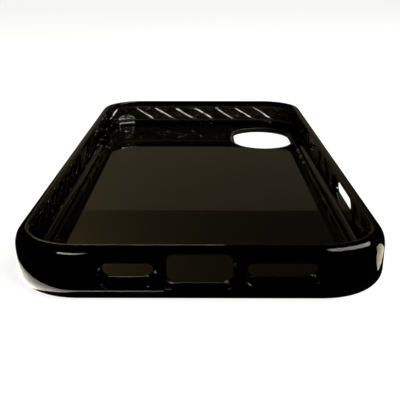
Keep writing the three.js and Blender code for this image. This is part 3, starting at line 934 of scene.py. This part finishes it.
def ribbon_glow():
    """Brightest in the corner: it fades along the near edge, up the side, and away from the case."""
    material, tree, glow = glow_material("corner_ribbon", (1.0, 0.96, 0.82, 1), 1.0)
    place = add_node(tree, "ShaderNodeTexCoord", {}).outputs["Object"]
    split = add_node(tree, "ShaderNodeSeparateXYZ", {"Vector": place})
    mirrored = add_node(tree, "ShaderNodeVectorMath", {0: place}, "ABSOLUTE")
    from_middle = add_node(tree, "ShaderNodeVectorMath", {
        0: mirrored.outputs["Vector"], 1: (STRAIGHT_X, STRAIGHT_Y, 0.0)}, "SUBTRACT")
    beyond = add_node(tree, "ShaderNodeVectorMath", {
        0: from_middle.outputs["Vector"], 1: (0.0, 0.0, 0.0)}, "MAXIMUM")
    reach = add_node(tree, "ShaderNodeVectorMath", {0: beyond.outputs["Vector"]}, "LENGTH")
    along_edge = fade_between(tree, split.outputs["X"], -30.0 * MM, -8.0 * MM, 6.0, 1.5)
    outwards = fade_between(
        tree, reach.outputs["Value"], CORNER_RADIUS + 2.0 * MM, CORNER_RADIUS + 7.0 * MM, 1.0, 0.0)
    up_side = fade_between(
        tree, split.outputs["Y"], -STRAIGHT_Y, -STRAIGHT_Y + RIBBON_TAIL, 1.0, 0.0)
    flat = add_node(tree, "ShaderNodeMath", {0: along_edge, 1: outwards}, "MULTIPLY")
    both = add_node(tree, "ShaderNodeMath", {0: flat.outputs["Value"], 1: up_side}, "MULTIPLY")
    set_sockets(tree, glow, {"Strength": both.outputs["Value"]})
    return material


# %% Lay the ribbon
RIBBON_STEPS = 40


def corner_ribbon():
    corner_start = CORNERS[2][2]
    start = CORNERS[1][2] + CORNER_LENGTH + STRAIGHT_X + 7.0 * MM
    end = corner_start + CORNER_LENGTH + RIBBON_TAIL
    inner, outer = [], []
    for step in range(RIBBON_STEPS + 1):
        along = start + (end - start) * step / RIBBON_STEPS
        share = min(max((along - corner_start) / CORNER_LENGTH, 0.0), 1.0)
        near_edge = max(2.4 - 6.0 * share, -1.2) * MM  # outside the case's outline
        far_edge = (3.7 + 3.3 * share) * MM
        inner.append(outline_point(along, -near_edge, TABLE_SHEET))
        outer.append(outline_point(along, -far_edge, TABLE_SHEET))
    row = RIBBON_STEPS + 1
    faces = [(i, i + 1, row + i + 1, row + i) for i in range(RIBBON_STEPS)]
    reflection_card("corner_ribbon", inner + outer, faces, ribbon_glow())
    print(f"the ribbon is {1000 * (end - start):.0f} mm long")


corner_ribbon()

# %% [markdown]
# Two soft boxes do the rest. The long one, high on the right, lies along the line that runs from
# over the camera to low behind the case: it lights every falling rib of the liner at once, and draws
# the long stroke on the near right corner. The small one draws the short stroke on the left.

# %% Soft boxes
BOX_COLOUR = (1.0, 0.985, 0.94)
LONG_BOX = Vector((0.378, -0.139, 0.402))
LONG_BOX_LINE = Vector((0.566, 0.688, -0.453))


def soft_box(name, place, aim, along, length, width, radiance):
    light = bpy.data.lights.new(name, "AREA")
    light.shape = "RECTANGLE"
    light.size = length
    light.size_y = width
    light.energy = radiance * math.pi * length * width
    light.color = BOX_COLOUR
    lamp = bpy.data.objects.new(name, light)
    scene.collection.objects.link(lamp)
    back = (place - aim).normalized()
    across = (along - back * back.dot(along)).normalized()
    upright = back.cross(across)
    turn = Matrix((across, upright, back)).transposed().to_4x4()
    lamp.matrix_world = Matrix.Translation(place) @ turn
    lamp.visible_camera = False
    lamp.visible_transmission = False


soft_box("right_box", LONG_BOX, aim=Vector((0.0, 0.0, 0.0)), along=LONG_BOX_LINE,
         length=0.62, width=0.24, radiance=18.0)
soft_box("left_box", Vector((-0.220, -0.451, 0.270)), aim=Vector((-0.02, -0.07, 0.01)),
         along=Vector((1.0, -0.4, 0.0)), length=0.225, width=0.08, radiance=7.0)

# %% [markdown]
# The long box alone would burn out the near right corner. A net is a piece of dark gauze on a frame,
# and here it does what it does in any studio: it stands close to that corner, on the line to the
# box, and lets about a quarter of the light through to it. The ribs at the camera end look at the
# box along another line, past the net, so they keep their light.

# %% A net for the near corner
NET_SHARE = 0.2  # of the way from the corner to the box
NET_HALF_LENGTH, NET_HALF_WIDTH = 0.085, 0.045


def add_net():
    corner = Vector((0.030, -0.070, 0.010))
    middle = corner + NET_SHARE * (LONG_BOX - corner)
    along = LONG_BOX_LINE * NET_HALF_LENGTH
    across = (LONG_BOX - corner).cross(along).normalized() * NET_HALF_WIDTH
    material, tree = new_material("net")
    tree.nodes.remove(tree.nodes["Principled BSDF"])
    gauze = add_node(tree, "ShaderNodeBsdfTransparent", {"Color": (0.24, 0.235, 0.22, 1)})
    set_sockets(tree, tree.nodes["Material Output"], {"Surface": gauze.outputs["BSDF"]})
    stage_piece("net", [middle - along - across, middle + along - across,
                        middle + along + across, middle - along + across],
                [(0, 1, 2, 3)], material, ("camera", "transmission", "diffuse"))
    print("net at", [round(1000 * c) for c in middle], "mm")


add_net()

# %% [markdown]
# Beyond the lights and cards the room is nearly dark, so that the plastic stays deep wherever it
# mirrors nothing. The plain view transform keeps the pale stage pale and the plastic's tones as set.

# %% The room
world = bpy.data.worlds.new("dim_room")
world.use_nodes = True
set_sockets(world.node_tree, world.node_tree.nodes["Background"], {
    "Color": (0.004, 0.0036, 0.003, 1), "Strength": 1.0})
scene.world = world
scene.view_settings.view_transform = "Standard"
print("room:", world.name)

# %% [markdown]
# The camera stands a hand's width in front of the port end and looks down along the case at a low
# angle, with a slightly long lens.

# %% Camera
STAND_OFF, EYE_HEIGHT, SIDESTEP = 109.9 * MM, 59.2 * MM, 0.55 * MM
LOOK_DOWN, TURN_LEFT = 19.33, 0.25  # degrees
camera_data = bpy.data.cameras.new("camera")
camera_data.lens = 58.5
camera_data.sensor_width = 36.0
camera_data.clip_start = 0.01
camera = bpy.data.objects.new("camera", camera_data)
scene.collection.objects.link(camera)
camera.location = (SIDESTEP, -HALF_LENGTH - STAND_OFF, EYE_HEIGHT)
camera.rotation_euler = (math.radians(90 - LOOK_DOWN), 0.0, math.radians(TURN_LEFT))
scene.camera = camera
print("camera at", [round(1000 * c, 1) for c in camera.location], "mm")

# %% [markdown]
# Last, the scene is brought up to date.

# %% Finish
bpy.context.view_layer.update()
